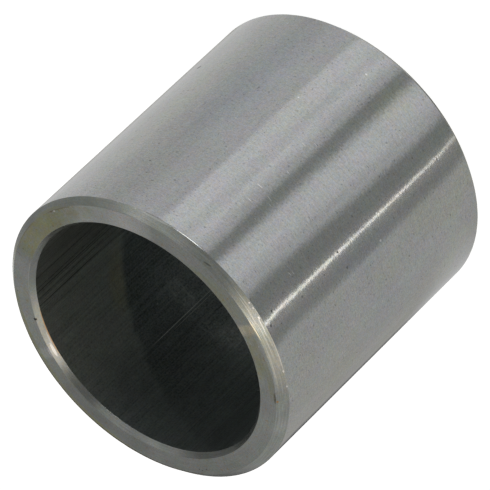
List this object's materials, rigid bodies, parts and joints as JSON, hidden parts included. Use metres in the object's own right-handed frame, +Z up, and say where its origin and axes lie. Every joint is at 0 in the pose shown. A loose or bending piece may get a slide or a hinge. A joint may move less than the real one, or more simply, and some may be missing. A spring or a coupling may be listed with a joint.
{
  "type": "spacer sleeve",
  "caption": "Short round steel spacer sleeve with a plain through bore, a ground outside and bevelled ends; it keeps parts on an axle a set distance apart.",
  "frame": {"origin": "middle of the lower end of the ground outside", "axes": "+Z up along the sleeve; +X towards the side where the wall is thinnest, because the bore lies slightly off the middle that way"},
  "size_m": [0.032, 0.032, 0.033],
  "materials": {
    "steel": "ground outside, turned ends and bevels, dark blackened bore"
  },
  "bodies": {
    "root": {"spacer": "steel"}
  },
  "joints": []
}
